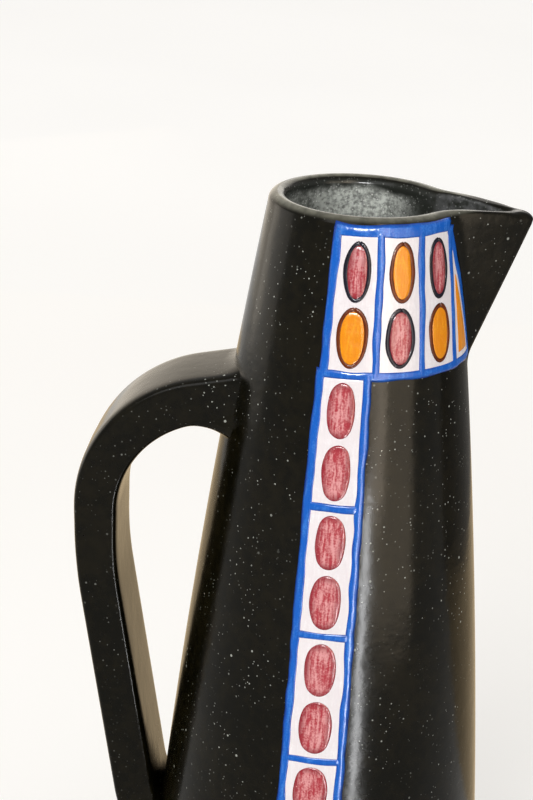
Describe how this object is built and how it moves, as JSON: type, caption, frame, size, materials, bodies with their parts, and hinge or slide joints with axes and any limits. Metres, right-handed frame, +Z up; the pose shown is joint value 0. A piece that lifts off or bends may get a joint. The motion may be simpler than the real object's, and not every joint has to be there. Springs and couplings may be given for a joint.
{
  "type": "pouring jug",
  "caption": "Tall tapered glazed jug with a folded triangular pouring beak, a broad strap handle and a painted enamel panel down one side.",
  "frame": {"origin": "centre of the foot, on the surface that the jug stands on", "axes": "+Z up along the jug's axis, +X towards the pouring beak, so the handle is at -X and the painted panel faces -Y"},
  "size_m": [0.1731, 0.1388, 0.33],
  "materials": {
    "black_glaze": "gloss black glaze with fine pale specks",
    "inner_glaze": "mottled grey glaze inside, bare clay under the foot",
    "white_enamel": "gloss, brushed",
    "blue_enamel": "gloss, brushed",
    "burgundy_enamel": "gloss, streaky",
    "orange_enamel": "gloss, brushed",
    "black_enamel": "gloss",
    "brown_enamel": "gloss"
  },
  "bodies": {
    "root": {"body_wall": "black_glaze", "base_disc": "inner_glaze", "beak": "black_glaze", "handle": "black_glaze", "panel_ground": "white_enamel", "panel_lines": "blue_enamel", "red_fields": "burgundy_enamel", "orange_fields": "orange_enamel", "black_outlines": "black_enamel", "brown_outlines": "brown_enamel"}
  },
  "joints": []
}
